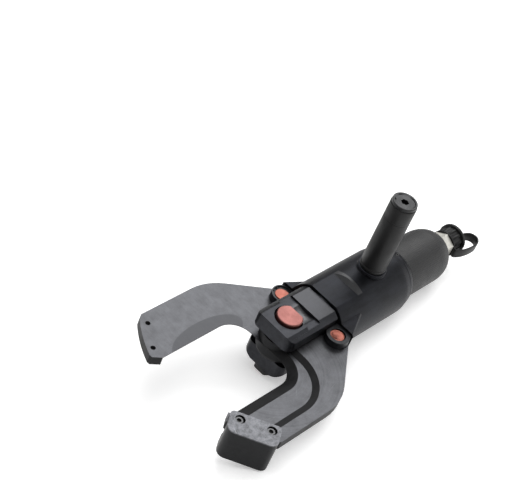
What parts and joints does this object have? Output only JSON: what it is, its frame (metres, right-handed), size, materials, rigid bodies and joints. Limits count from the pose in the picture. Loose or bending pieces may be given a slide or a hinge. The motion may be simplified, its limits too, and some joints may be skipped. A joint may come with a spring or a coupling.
{
  "type": "hydraulic cable cutter head",
  "caption": "Hydraulic cable cutter head: hooked shear blades on one pivot, driven by links and a spring-return ram, with a carrying handle and a capped hose coupler.",
  "frame": {"origin": "centre of the bounding box's footprint, on the level of the pivot pin's lower end", "axes": "+X forward along the tool, from the hose coupler to the blade tips; +Y towards the blade that carries the guide block; +Z along the carrying handle, away from the pivot nut"},
  "size_m": [0.553, 0.2304, 0.2096],
  "materials": {
    "blade_steel": "hardened tool steel, satin, ground along the edges",
    "block_steel": "dark coated steel, scuffed on top",
    "socket_screw": "blackened steel",
    "link_steel": "satin grey steel",
    "copper_pin": "turned copper-plated steel",
    "snap_ring": "phosphated spring steel",
    "inner_steel": "machined steel",
    "hard_chrome": "polished hard chrome",
    "fork_steel": "grey oxide, worn on the top plate",
    "nut_steel": "blackened steel",
    "bronze": "plain bearing bronze",
    "body_black": "blue-black oxide, satin",
    "spring_steel": "oiled spring steel",
    "grip_skin": "fine textured matte",
    "handle_rubber": "matte",
    "handle_end": "grey steel, bright worn rim",
    "zinc": "zinc plated",
    "seal": "polyurethane",
    "cap_rubber": "glossy moulded"
  },
  "bodies": {
    "housing": {"fork": "fork_steel", "fork_screw_1": "socket_screw", "fork_screw_2": "socket_screw", "pivot_pin": "copper_pin", "pivot_nut": "nut_steel", "upper_washer": "nut_steel", "lower_washer": "nut_steel", "body_housing": "body_black", "lock_screw": "socket_screw", "cylinder_barrel": "inner_steel", "grip_sleeve": "grip_skin", "return_spring": "spring_steel", "handle_base_ring": "body_black", "handle_core": "inner_steel", "handle_grip": "handle_rubber", "handle_bolt": "handle_end", "hose_adaptor": "zinc", "coupler_nipple": "zinc", "poppet_spring": "spring_steel", "dust_cap_strap": "cap_rubber"},
    "near_blade_body": {"near_blade": "blade_steel", "guide_block": "block_steel", "guide_screw_1": "socket_screw", "guide_screw_2": "socket_screw", "near_tail_pin": "copper_pin", "near_tail_snap_ring": "snap_ring"},
    "far_blade_body": {"far_blade": "blade_steel", "far_tail_pin": "copper_pin", "far_tail_snap_ring": "snap_ring"},
    "near_link_body": {"near_link": "link_steel", "near_rear_pin": "inner_steel"},
    "far_link_body": {"far_link": "link_steel", "far_rear_pin": "inner_steel"},
    "ram": {"crosshead": "inner_steel", "piston_rod": "hard_chrome", "piston": "inner_steel", "piston_seal": "seal", "wear_ring": "bronze"},
    "poppet": {"coupler_poppet": "bronze"},
    "cap": {"dust_cap": "cap_rubber"}
  },
  "joints": [
    {"name": "near_blade_pivot", "type": "hinge", "parent": "housing", "child": "near_blade_body", "pos_m": [0.10721, -0.00125, 0.051], "axis": [0, 0, -1], "range_deg": [0, 48]},
    {"name": "far_blade_pivot", "type": "hinge", "parent": "housing", "child": "far_blade_body", "pos_m": [0.10721, -0.00125, 0.051], "axis": [0, 0, 1], "range_deg": [0, 48]},
    {"name": "near_tail_hinge", "type": "hinge", "parent": "near_blade_body", "child": "near_link_body", "pos_m": [0.05971, 0.04275, 0.051], "axis": [0, 0, 1], "range_deg": [0, 70.5]},
    {"name": "far_tail_hinge", "type": "hinge", "parent": "far_blade_body", "child": "far_link_body", "pos_m": [0.05971, -0.04525, 0.051], "axis": [0, 0, -1], "range_deg": [0, 70.5]},
    {"name": "ram_slide", "type": "slide", "parent": "housing", "child": "ram", "axis": [1, 0, 0], "range_m": [0, 0.0588], "stiffness_N_per_m": 1500, "springref_m": -0.03, "deforming": ["return_spring"]},
    {"name": "poppet_slide", "type": "slide", "parent": "housing", "child": "poppet", "axis": [1, 0, 0], "range_m": [0, 0.004], "stiffness_N_per_m": 1200, "springref_m": -0.002, "deforming": ["poppet_spring"]},
    {"name": "cap_pull", "type": "slide", "parent": "housing", "child": "cap", "axis": [-1, 0, 0], "range_m": [0, 0.024], "deforming": ["dust_cap_strap"]}
  ],
  "couplings": [
    {"joint": "far_blade_pivot", "follows": "near_blade_pivot", "ratio": 1},
    {"joint": "near_tail_hinge", "follows": "near_blade_pivot", "ratio": 1.46},
    {"joint": "far_tail_hinge", "follows": "near_blade_pivot", "ratio": 1.46},
    {"joint": "ram_slide", "follows": "near_blade_pivot", "m_per_rad": 0.07}
  ]
}
